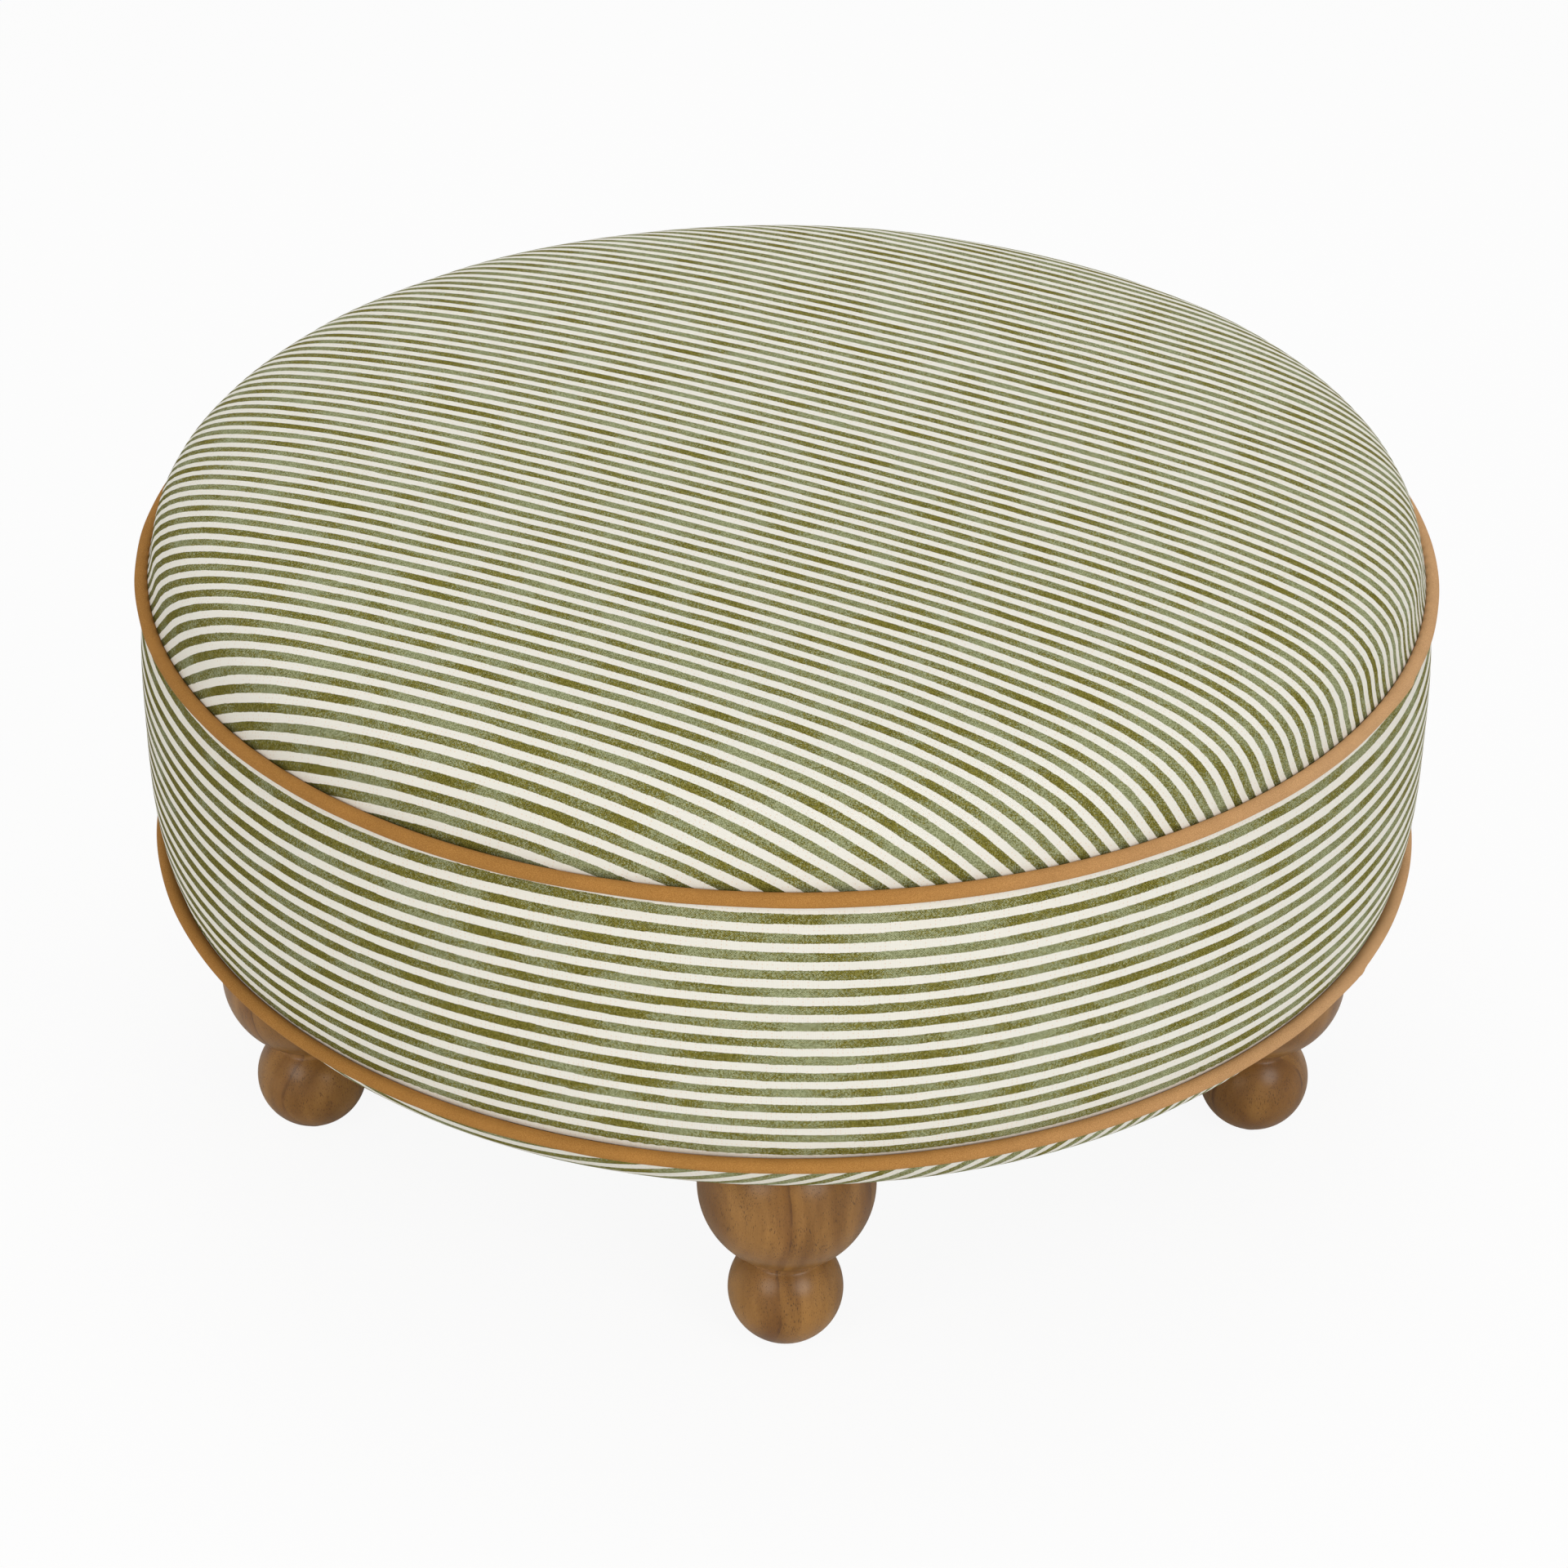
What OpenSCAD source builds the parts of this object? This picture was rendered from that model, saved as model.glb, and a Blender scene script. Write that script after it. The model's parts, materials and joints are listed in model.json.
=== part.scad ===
// Round upholstered ottoman on five turned feet, with a crowned tight seat,
// a striped band between two velvet welts and a rolled lower edge.
// The origin is on the floor under the centre, +Z is up and the front foot is at -Y.

/* [Body] */
// Diameter over the velvet welts
body_d = 914; // [760:2:1100]
// Height of the side band, from welt centre to welt centre
band_h = 207; // [150:1:300]
// How far the padding swells the band past a straight wall at half its height
band_bulge = 9.5; // [2:0.5:10]
// How straight the band stands before it rounds in to the welts
band_squareness = 3.5; // [2:0.5:4.5]
// How far the band draws in from the upper welt down to the lower one
taper = 2.5; // [0:0.5:6]
// Height of the rolled lower edge, from the foot's seat to the lower welt's centre
roll_h = 37; // [30:0.5:44]
// How far the rolled edge draws in on its way down to the flat underside
roll_in = 36; // [32:1:44]
// How full the rolled edge is
roll_fullness = 2.3; // [2:0.1:2.8]

/* [Seat] */
// Rise of the seat's middle over the upper welt's centre
crown_h = 90; // [70:1:120]
// Share of that rise that is the gentle dome between the shoulders
dome_h = 15; // [4:1:24]
// How flat the seat stays before its shoulder
shoulder_out = 6; // [4:0.2:8]
// How square the shoulder turns down to the welt
shoulder_down = 3.5; // [2.6:0.1:4.4]
// How far the seat's wall stands in from the band's
seat_in = 3; // [0:0.5:5]

/* [Covers and padding] */
// Thickness of the striped cover cloth
fabric_t = 1.2; // [0.8:0.1:2]
// Thickness of the polyester wadding over the seat foam
wadding_t = 8; // [5:0.5:12]
// Thickness of the side padding at the welts
side_pad_t = 12; // [9:0.5:16]
// Gap left between soft layers that press on each other
layer_gap = 0.3; // [0.2:0.05:0.4]
// How far the striped cover runs in past the feet on the underside
border_lap = 12; // [8:1:16]
// Thickness of the black cloth under the frame
dust_t = 0.8; // [0.5:0.1:1.2]
// How far the black cloth laps over the cover's edge
dust_lap = 7; // [4:1:9]

/* [Welts] */
// Outer diameter of the velvet welt
welt_d = 10; // [9:0.5:14]
// Thickness of the velvet round the cord
velvet_t = 1; // [0.6:0.1:1.4]
// How far the sewn seam allowances reach in behind the welt
allowance_w = 9; // [6:0.5:10]

/* [Frame] */
// Thickness of the plywood toe ring and of the plywood seat ring
ply_t = 18; // [15:0.5:21]
// Thickness of the plywood base panel
panel_t = 15; // [12:0.5:18]
// Width of the toe ring that the feet are bolted up against
toe_ring_w = 112; // [100:1:140]
// Round-over on the toe ring's lower rim
toe_round = 6; // [4:0.5:10]
// Width of the seat ring between its rim and its opening
ring_w = 92; // [70:1:110]
// Thickness of the bent hardboard skin
board_t = 3; // [2:0.5:4]
// Number of posts between the base and the seat ring, two beside each foot
post_pairs = 5; // [5:1:5]
// Width of a post along the rim
post_w = 60; // [44:1:70]
// Depth of a post towards the middle
post_depth = 44; // [34:1:55]

/* [Webbing] */
// Straps in each direction
strap_count = 5; // [3:2:5]
// Width of a strap
strap_w = 60; // [45:1:70]
// Distance between the middles of two straps
strap_pitch = 118; // [105:1:122]
// Thickness of a strap
strap_t = 2; // [1.5:0.1:2.5]
// Length of the strap's doubled end
strap_fold = 28; // [20:1:34]

/* [Feet] */
// Distance from the rim of the body in to the foot's axis
foot_inset = 97; // [90:1:112]
// Radius of the foot's upper ball
upper_ball_r = 60.5; // [54:0.5:66]
// Radius of the foot's lower ball
lower_ball_r = 39.5; // [34:0.5:46]
// Radius of the waist where the two balls would meet
waist_r = 22.5; // [20:0.5:31]
// Radius of the cove turned round the waist
cove_r = 4; // [2:0.5:6]
// Radius of the flat on which the body sits
seat_flat_r = 44; // [34:0.5:46]
// Radius of the flat under the foot
sole_flat_r = 15; // [13:0.5:20]
// Thickness of the nylon glide
glide_t = 3; // [2.5:0.5:5]

/* [Fixings] */
// Diameter of the hanger bolt
bolt_d = 8; // [6:1:10]
// Depth of the bolt in the foot
bolt_in_foot = 45; // [30:1:60]
// Side of the hardwood block over each foot
block_w = 92; // [80:1:100]
// Height of that block
block_h = 28; // [22:1:36]
// Outer diameter of the tee nut's barrel
nut_barrel_d = 10.6; // [9:0.2:13]
// Diameter of the tee nut's flange
nut_flange_d = 24; // [20:1:30]
// Diameter of the frame screws
screw_d = 4; // [3:0.5:5]
// Length of the screws through the plywood into the posts
post_screw_l = 55; // [40:1:70]
// Length of the screws through the blocks into the base
block_screw_l = 52; // [47:1:56]

/* [Hidden] */
$fn = 96;

foot_count = 5;
front_angle = -90;
screw_gap = 0.05;         // radial play round a screw or bolt in its pilot hole
bolt_play = 0.5;          // radial play of the bolt through the wood
toe_back = 1;             // how far the toe ring's rim stands back from the start of the rolled edge
board_up = 6;             // height of the hardboard's lower edge over the panel's underside
end_gap = 0.5;            // room past the tip of a screw or bolt
eps = 0.01;

// the foot, from its sole up
foot_step = 360 / foot_count;
sole_drop = sqrt(pow(lower_ball_r, 2) - pow(sole_flat_r, 2));
lower_rise = sqrt(pow(lower_ball_r, 2) - pow(waist_r, 2));
upper_drop = sqrt(pow(upper_ball_r, 2) - pow(waist_r, 2));
seat_rise = sqrt(pow(upper_ball_r, 2) - pow(seat_flat_r, 2));
lower_ball_z = glide_t + sole_drop;
upper_ball_z = lower_ball_z + lower_rise + upper_drop;
foot_h = upper_ball_z + seat_rise;
foot_ring_r = body_d / 2 - foot_inset;

// heights of the body
low_welt_z = foot_h + roll_h;
high_welt_z = low_welt_z + band_h;
base_z = foot_h + fabric_t;
panel_z = base_z + ply_t;
base_top_z = panel_z + panel_t;
allowance_z = velvet_t + layer_gap;
ring_top_z = high_welt_z - allowance_z - fabric_t - layer_gap;
ring_z = ring_top_z - ply_t;
web_h = 2 * strap_t + layer_gap;
strap_back = 6;           // how far the straps' ends stand back from the frame's rim
cloth_back = 3;           // how far the deck cloth's edge does
cloth_t = 0.6;
board_joint = 1;
cloth_z = ring_top_z + web_h + layer_gap;
foam_z = max(cloth_z + cloth_t, high_welt_z + allowance_z + fabric_t) + layer_gap;

// radii of the body
welt_r = welt_d / 2;
welt_ring_r = body_d / 2 - welt_r;
hug_r = welt_r + layer_gap;
hug_start = 55;           // degrees past the vertical where a cover leaves the welt
hug_in = hug_r * sin(hug_start);
hug_up = hug_r * cos(hug_start);
edge_r = welt_ring_r - hug_in;
low_ring_r = welt_ring_r - taper;
low_edge_r = low_ring_r - hug_in;
seat_r = edge_r - seat_in;
high_welt = [welt_ring_r, high_welt_z];
low_welt = [low_ring_r, low_welt_z];
board_out_r = low_edge_r - fabric_t - side_pad_t - 2 * layer_gap;
board_in_r = board_out_r - board_t;
frame_r = board_in_r - layer_gap;
ring_in_r = frame_r - ring_w;
toe_r = low_edge_r - roll_in - toe_back;
border_in_r = foot_ring_r - seat_flat_r - border_lap;
board_z = panel_z + board_up;

// posts and screws
post_out_r = sqrt(pow(frame_r, 2) - pow(post_w / 2, 2));
post_mid_r = post_out_r - post_depth / 2;
post_turn = foot_step / 4;
post_screw_at = post_w / 4;
post_screw_in = 14;       // distance of a post's screws from its outer face
block_screw_at = block_w / 2 - 14;
block_corner = 10;
head_r = screw_d;
head_h = 0.6 * screw_d;
tip_h = screw_d;

// tee nut, bolt and glide
nut_flange_t = 1.6;
nut_barrel_h = 13;
bolt_over_nut = 3;
glide_r = sole_flat_r - 1;
nail_r = 1.2;
nail_head_r = 4;
nail_head_h = 1;
nail_l = 18;

cloth_green = [0.55, 0.58, 0.42];
velvet_tan = [0.72, 0.47, 0.26];
foot_brown = [0.42, 0.29, 0.17];
ply_tan = [0.80, 0.66, 0.46];
beech = [0.76, 0.60, 0.42];
hardboard = [0.45, 0.32, 0.20];
foam_cream = [0.93, 0.88, 0.70];
wadding_white = [0.95, 0.95, 0.94];
jute = [0.66, 0.54, 0.36];
zinc = [0.72, 0.73, 0.75];
nylon = [0.20, 0.19, 0.18];
cambric = [0.10, 0.10, 0.11];

// points of an arc from angle a0 to a1, in n steps
function arc(c, r, a0, a1, n) =
    [for (i = [0 : n]) let (a = a0 + (a1 - a0) * i / n) c + r * [cos(a), sin(a)]];

// a path moved to its right by d, which is inwards on every path here
function inset(path, d) =
    [for (i = [0 : len(path) - 1])
        let (a = path[max(i - 1, 0)], b = path[min(i + 1, len(path) - 1)], t = (b - a) / norm(b - a))
            path[i][0] == 0 ? path[i] - [0, d] : path[i] + d * [t[1], -t[0]]];

function back(path) = [for (i = [len(path) - 1 : -1 : 0]) path[i]];

// height of the seat's skin over the upper welt at radius r
function crown_rise(r) = let (q = min(r / seat_r, 1))
    (crown_h - dome_h) * pow(1 - pow(q, shoulder_out), 1 / shoulder_down) + dome_h * (1 - q * q);

// the seat's skin from the middle out, over the shoulder and down to the welt
function crown_curve() = let (flat = 0.36, steps = 26, last = 88.6)
    concat(
        [for (i = [0 : 5]) let (r = flat * seat_r * i / 6) [r, high_welt_z + crown_rise(r)]],
        [for (i = [0 : steps])
            let (a0 = asin(pow(flat, shoulder_out / 2)), a = a0 + (last - a0) * i / steps,
                r = seat_r * pow(sin(a), 2 / shoulder_out)) [r, high_welt_z + crown_rise(r)]]);

// inner end of the seam allowances behind the welt at c, which holds its ring's radius and its height
function flange_end(c) = c[0] - welt_r - allowance_w;

// the path that hugs the welt's upper inner side and turns in along its flange
function hug_above(c) = let (a = 180 - asin(allowance_z / hug_r))
    concat(arc(c, hug_r, 90 + hug_start, a, 3), [[flange_end(c), c[1] + allowance_z]]);

// the same on the welt's lower inner side, from the flange out
function hug_below(c) = let (a = 180 + asin(allowance_z / hug_r))
    concat([[flange_end(c), c[1] - allowance_z]], arc(c, hug_r, a, 270 - hug_start, 3));

// the swollen wall of the band between its two welts, from the top down
function band_curve() = let (steps = 24, half = band_h / 2 - hug_up, mid = low_welt_z + band_h / 2)
    [for (i = [1 : steps - 1]) let (q = 1 - 2 * i / steps)
        [edge_r - taper * (1 - q) / 2 + band_bulge * (1 - pow(abs(q), band_squareness)), mid + q * half]];

// the rolled lower edge, from just below the lower welt round to the flat underside
function roll_curve() = let (steps = 20, top = low_welt_z - hug_up, drop = top - foot_h)
    [for (i = [1 : steps]) let (u = i / steps)
        [low_edge_r - roll_in * u, top - drop * (1 - pow(1 - u, roll_fullness))]];

// a closed skin of thickness t whose outer face is the path
module skin(path, t) {
    rotate_extrude() polygon(concat(path, back(inset(path, t))));
}

// everything under the path, down to height z
module filled(path, z) {
    rotate_extrude() polygon(concat(path, [[path[len(path) - 1][0], z], [0, z]]));
}

// places its children at a foot, with +X pointing out
module at_foot(i) {
    rotate(front_angle + i * foot_step) translate([foot_ring_r, 0, 0]) children();
}

module at_each_foot() {
    for (i = [0 : foot_count - 1]) at_foot(i) children();
}

// places its children at the middle of each post, with +X pointing out
module at_each_post() {
    for (i = [0 : 2 * post_pairs - 1])
        rotate(front_angle + post_turn + i * foot_step / 2) translate([post_mid_r, 0, 0]) children();
}

// the screws of one post end, side by side
module post_screw_pair() {
    for (s = [-1, 1]) translate([post_depth / 2 - post_screw_in, s * post_screw_at, 0]) children();
}

module block_screw_places() {
    for (x = [-1, 1], y = [-1, 1]) translate([x * block_screw_at, y * block_screw_at, 0]) children();
}

// a countersunk screw with its head's face at z = 0 and its tip below, made larger by play
module screw(l, play = 0, tip_play = 0) {
    rotate_extrude() polygon([[0, play], [head_r + play, play], [head_r + play, -play],
        [screw_d / 2 + play, -head_h - play], [screw_d / 2 + play, -l + tip_h],
        [0.3 + play, -l - tip_play], [0, -l - tip_play]]);
}

module post_screws_below(play = 0, tip_play = 0) {
    at_each_post() post_screw_pair()
        translate([0, 0, panel_z]) mirror([0, 0, 1]) screw(post_screw_l, play, tip_play);
}

module post_screws_above(play = 0, tip_play = 0) {
    at_each_post() post_screw_pair() translate([0, 0, ring_top_z]) screw(post_screw_l, play, tip_play);
}

module block_screw_set(play = 0, tip_play = 0) {
    at_each_foot() block_screw_places()
        translate([0, 0, base_top_z + block_h]) screw(block_screw_l, play, tip_play);
}

// outline of the turned foot, on its right-hand side
module foot_profile() {
    d = upper_ball_z - lower_ball_z;
    to_low = lower_ball_r + cove_r;
    to_high = upper_ball_r + cove_r;
    cove_z = (d * d + to_low * to_low - to_high * to_high) / (2 * d);
    cove_x = sqrt(to_low * to_low - cove_z * cove_z);
    intersection() {
        translate([0, glide_t]) square([upper_ball_r + 1, foot_h - glide_t]);
        union() {
            translate([0, lower_ball_z]) circle(lower_ball_r);
            translate([0, upper_ball_z]) circle(upper_ball_r);
            difference() {
                polygon([[0, lower_ball_z], [cove_x, lower_ball_z + cove_z], [0, upper_ball_z]]);
                translate([cove_x, lower_ball_z + cove_z]) circle(cove_r);
            }
        }
    }
}

module foot(i) {
    color(foot_brown) at_foot(i) difference() {
        rotate_extrude() foot_profile();
        translate([0, 0, foot_h - bolt_in_foot - end_gap])
            cylinder(r = bolt_d / 2 + screw_gap, h = bolt_in_foot + end_gap + 1);
        translate([0, 0, glide_t - 1]) cylinder(r = nail_r + screw_gap, h = nail_l + 1, $fn = 24);
    }
}

module foot_glides() {
    color(nylon) at_each_foot() difference() {
        rotate_extrude() polygon([[0, 0], [glide_r - 1, 0], [glide_r, 1], [glide_r, glide_t], [0, glide_t]]);
        translate([0, 0, -1]) cylinder(r = nail_r + screw_gap, h = glide_t + 2, $fn = 24);
        translate([0, 0, -1]) cylinder(r = nail_head_r + screw_gap, h = nail_head_h + 1.3, $fn = 32);
    }
}

module glide_nails() {
    color(zinc) at_each_foot() translate([0, 0, 0.3]) {
        cylinder(r = nail_head_r, h = nail_head_h, $fn = 32);
        cylinder(r = nail_r, h = nail_l - 3, $fn = 24);
        translate([0, 0, nail_l - 3]) cylinder(r1 = nail_r, r2 = 0.3, h = 2.5, $fn = 24);
    }
}

module hanger_bolts() {
    top = base_top_z + block_h + nut_flange_t + bolt_over_nut;
    color(zinc) at_each_foot() rotate_extrude() polygon([[0, foot_h - bolt_in_foot],
        [0.6, foot_h - bolt_in_foot], [bolt_d / 2, foot_h - bolt_in_foot + bolt_d],
        [bolt_d / 2, top - 0.8], [bolt_d / 2 - 0.8, top], [0, top]]);
}

module tee_nuts() {
    color(zinc) at_each_foot() translate([0, 0, base_top_z + block_h]) difference() {
        union() {
            cylinder(d = nut_flange_d, h = nut_flange_t);
            translate([0, 0, -nut_barrel_h]) cylinder(d = nut_barrel_d, h = nut_barrel_h + eps);
        }
        translate([0, 0, -nut_barrel_h - 1])
            cylinder(r = bolt_d / 2 + screw_gap, h = nut_barrel_h + nut_flange_t + 2);
    }
}

module foot_blocks() {
    half = block_w / 2;
    cut = half - block_corner;
    color(beech) difference() {
        at_each_foot() translate([0, 0, base_top_z]) linear_extrude(block_h)
            polygon([[half, -cut], [half, cut], [cut, half], [-cut, half],
                [-half, cut], [-half, -cut], [-cut, -half], [cut, -half]]);
        at_each_foot() {
            translate([0, 0, base_top_z - 1]) cylinder(r = bolt_d / 2 + bolt_play, h = block_h + 2);
            translate([0, 0, base_top_z + block_h - nut_barrel_h - end_gap])
                cylinder(r = nut_barrel_d / 2 + screw_gap, h = nut_barrel_h + end_gap + 1);
        }
        block_screw_set(screw_gap, end_gap);
    }
}

module block_screws() {
    color(zinc) block_screw_set();
}

// holes for the bolts through a layer between heights z0 and z1
module bolt_holes(z0, z1) {
    at_each_foot() translate([0, 0, z0 - 1]) cylinder(r = bolt_d / 2 + bolt_play, h = z1 - z0 + 2);
}

module toe_ring() {
    in_r = toe_r - toe_ring_w;
    color(ply_tan) difference() {
        rotate_extrude() union() {
            translate([in_r, base_z]) square([toe_ring_w - toe_round, ply_t]);
            translate([in_r, base_z + toe_round]) square([toe_ring_w, ply_t - toe_round]);
            intersection() {
                translate([toe_r - toe_round, base_z + toe_round]) circle(toe_round);
                translate([toe_r - toe_round, base_z]) square(toe_round);
            }
        }
        bolt_holes(base_z, panel_z);
        block_screw_set(screw_gap, end_gap);
    }
}

module base_panel() {
    color(ply_tan) difference() {
        translate([0, 0, panel_z]) cylinder(r = frame_r, h = panel_t);
        bolt_holes(panel_z, base_top_z);
        block_screw_set(screw_gap, end_gap);
        post_screws_below(screw_gap, end_gap);
    }
}

module frame_posts() {
    h = ring_z - base_top_z;
    color(beech) difference() {
        at_each_post() translate([-post_depth / 2, -post_w / 2, base_top_z]) cube([post_depth, post_w, h]);
        post_screws_below(screw_gap, end_gap);
        post_screws_above(screw_gap, end_gap);
    }
}

module seat_ring() {
    color(ply_tan) difference() {
        rotate_extrude() translate([ring_in_r, ring_z]) square([ring_w, ply_t]);
        post_screws_above(screw_gap, end_gap);
    }
}

module post_screws() {
    color(zinc) {
        post_screws_below();
        post_screws_above();
    }
}

// the bent skin round the frame, with its butt joint at the back
module side_board() {
    h = ring_top_z - board_z;
    color(hardboard) difference() {
        rotate_extrude() translate([board_in_r, board_z]) square([board_t, h]);
        translate([-board_joint / 2, board_in_r - 5, board_z - 1]) cube([board_joint, board_t + 10, h + 2]);
    }
}

// one strap along Y at place i, passing over the straps j for which i + j + turn is even
module strap(i, turn) {
    mid = (strap_count - 1) / 2;
    x = (i - mid) * strap_pitch;
    reach = sqrt(pow(frame_r - strap_back, 2) - pow(abs(x) + strap_w / 2, 2));
    half = strap_w / 2 + 2;
    top = strap_t + layer_gap;
    lift = [for (j = [0 : strap_count - 1]) (i + j + turn) % 2 == 0 ? top : 0];
    line = concat([[-reach, 0]],
        [for (j = [0 : strap_count - 1], s = [-1, 1]) [(j - mid) * strap_pitch + s * half, lift[j]]],
        [[reach, 0]]);
    ends = strap_fold;
    translate([x + strap_w / 2, 0, ring_top_z]) rotate([90, 0, -90]) linear_extrude(strap_w) union() {
        polygon(concat(line, back([for (p = line) p + [0, strap_t]])));
        for (s = [-1, 1])
            translate([s * (reach - ends / 2) - ends / 2, 0]) square([ends, 2 * strap_t]);
    }
}

module webbing_lengthwise() {
    color(jute) for (i = [0 : strap_count - 1]) strap(i, 0);
}

module webbing_crosswise() {
    color(jute) rotate(90) for (i = [0 : strap_count - 1]) strap(i, 1);
}

module deck_cloth() {
    color(cambric) translate([0, 0, cloth_z]) cylinder(r = frame_r - cloth_back, h = cloth_t);
}

module seat_foam() {
    color(foam_cream) filled(inset(crown_curve(), fabric_t + wadding_t + 2 * layer_gap), foam_z);
}

module seat_wadding() {
    outer = inset(crown_curve(), fabric_t + layer_gap);
    inner = inset(crown_curve(), fabric_t + wadding_t + layer_gap);
    z = high_welt_z + hug_up + fabric_t + layer_gap;
    color(wadding_white) intersection() {
        rotate_extrude() polygon(concat(outer, [[outer[len(outer) - 1][0], z - 5],
            [inner[len(inner) - 1][0], z - 5]], back(inner)));
        translate([0, 0, z]) cylinder(r = body_d, h = crown_h + 10);
    }
}

module top_cover() {
    color(cloth_green) skin(concat(crown_curve(), hug_above(high_welt)), fabric_t);
}

// velvet tube with its sewn flange round the section at c, without the cord in it
module welt(c) {
    color(velvet_tan) rotate_extrude() translate(c) difference() {
        union() {
            circle(welt_r, $fn = 48);
            translate([-welt_r - allowance_w, -velvet_t]) square([allowance_w + velvet_t / 2, 2 * velvet_t]);
        }
        circle(welt_r - velvet_t, $fn = 48);
    }
}

module welt_cord(c) {
    color(wadding_white) rotate_extrude() translate(c) circle(welt_r - velvet_t - layer_gap, $fn = 40);
}

module side_band() {
    path = concat(hug_below(high_welt), band_curve(), hug_above(low_welt));
    color(cloth_green) skin(path, fabric_t);
}

module side_padding() {
    outer = inset(band_curve(), fabric_t + layer_gap);
    inner_r = board_out_r + layer_gap;
    z0 = outer[len(outer) - 1][1];
    z1 = outer[0][1];
    color(wadding_white) rotate_extrude() polygon(concat(outer, [[inner_r, z0], [inner_r, z1]]));
}

module bottom_border() {
    path = concat(hug_below(low_welt), roll_curve(), [[border_in_r, foot_h]]);
    color(cloth_green) difference() {
        skin(path, fabric_t);
        bolt_holes(foot_h, base_z);
    }
}

// foam that rounds the rolled edge, between the cover, the hardboard and the rims of the wood
module roll_padding() {
    outer = inset(roll_curve(), fabric_t + layer_gap);
    toe_side = toe_r + layer_gap;
    board_side = board_out_r + layer_gap;
    under = [for (p = outer) if (p[0] > toe_side) p];
    color(wadding_white) rotate_extrude() polygon(concat(under, [[toe_side, under[len(under) - 1][1]],
        [toe_side, panel_z - layer_gap], [frame_r + layer_gap, panel_z - layer_gap],
        [frame_r + layer_gap, board_z - layer_gap], [board_side, board_z - layer_gap],
        [board_side, outer[0][1]]]));
}

// thin cloth under the frame, stepping down over the edge of the striped cover
module dust_cover() {
    z = foot_h - dust_t;
    in_r = border_in_r - 1;
    out_r = border_in_r + dust_lap;
    color(cambric) rotate_extrude() polygon([[0, base_z - dust_t], [in_r - dust_t, base_z - dust_t],
        [in_r - dust_t, z], [out_r, z], [out_r, foot_h], [in_r, foot_h], [in_r, base_z], [0, base_z]]);
}

foot(0);  // front_foot
foot(1);  // right_foot
foot(2);  // rear_right_foot
foot(3);  // rear_left_foot
foot(4);  // left_foot
foot_glides();
glide_nails();
hanger_bolts();
tee_nuts();
foot_blocks();
block_screws();
toe_ring();
base_panel();
frame_posts();
seat_ring();
post_screws();
side_board();
webbing_lengthwise();
webbing_crosswise();
deck_cloth();
seat_foam();
seat_wadding();
top_cover();
welt(high_welt);  // top_welt
welt_cord(high_welt);  // top_welt_cord
side_padding();
side_band();
welt(low_welt);  // bottom_welt
welt_cord(low_welt);  // bottom_welt_cord
roll_padding();
bottom_border();
dust_cover();
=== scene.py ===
"""Round upholstered ottoman: striped canvas over a crowned seat and a band, velvet piping, turned feet."""

import json
from math import asin, atan2, cos, degrees, pi, radians, sin, sqrt

import bpy
import numpy as np
from mathutils import Matrix, Vector


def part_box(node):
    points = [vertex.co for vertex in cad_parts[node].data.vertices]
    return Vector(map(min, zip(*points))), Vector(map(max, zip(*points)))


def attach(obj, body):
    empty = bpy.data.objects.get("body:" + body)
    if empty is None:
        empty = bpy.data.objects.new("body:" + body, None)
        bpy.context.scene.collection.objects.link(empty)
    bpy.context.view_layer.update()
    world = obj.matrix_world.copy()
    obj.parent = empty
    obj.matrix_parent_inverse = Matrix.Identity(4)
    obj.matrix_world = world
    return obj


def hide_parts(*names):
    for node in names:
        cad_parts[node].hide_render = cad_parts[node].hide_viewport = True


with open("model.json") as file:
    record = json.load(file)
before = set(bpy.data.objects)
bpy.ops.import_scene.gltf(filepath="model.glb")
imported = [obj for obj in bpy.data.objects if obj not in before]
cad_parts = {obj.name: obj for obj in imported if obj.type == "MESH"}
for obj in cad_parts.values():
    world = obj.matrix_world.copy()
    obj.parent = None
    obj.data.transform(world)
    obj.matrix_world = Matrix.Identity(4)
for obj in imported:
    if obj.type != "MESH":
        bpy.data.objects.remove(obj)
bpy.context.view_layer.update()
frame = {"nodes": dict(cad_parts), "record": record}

# Sizes that the frame gives, in metres
high_lo, high_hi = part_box("top_welt")
low_lo, low_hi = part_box("bottom_welt")
WELT_R = (high_hi.z - high_lo.z) / 2
HIGH_RING = high_hi.x - WELT_R
HIGH_Z = (high_hi.z + high_lo.z) / 2
LOW_RING = low_hi.x - WELT_R
LOW_Z = (low_hi.z + low_lo.z) / 2
SEAT_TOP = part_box("top_cover")[1].z
BORDER_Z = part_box("bottom_border")[0].z
FOOT_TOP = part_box("front_foot")[1].z
FOOT_RING = -(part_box("front_foot")[0].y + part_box("front_foot")[1].y) / 2

# Sizes of the feet, in metres: the radii of the two balls, of the waist between them and its cove, and of
# the flat faces at the top and the sole; the radius and depth of each bore
FOOT_UPPER = 0.0605
FOOT_LOWER = 0.0395
FOOT_WAIST = 0.0225
FOOT_COVE = 0.004
FOOT_SEAT = 0.044
FOOT_SOLE = 0.015
BOLT_BORE, BOLT_DEEP = 0.00405, 0.045
NAIL_BORE, NAIL_DEEP = 0.00125, 0.017
GLIDE = 0.003

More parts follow.
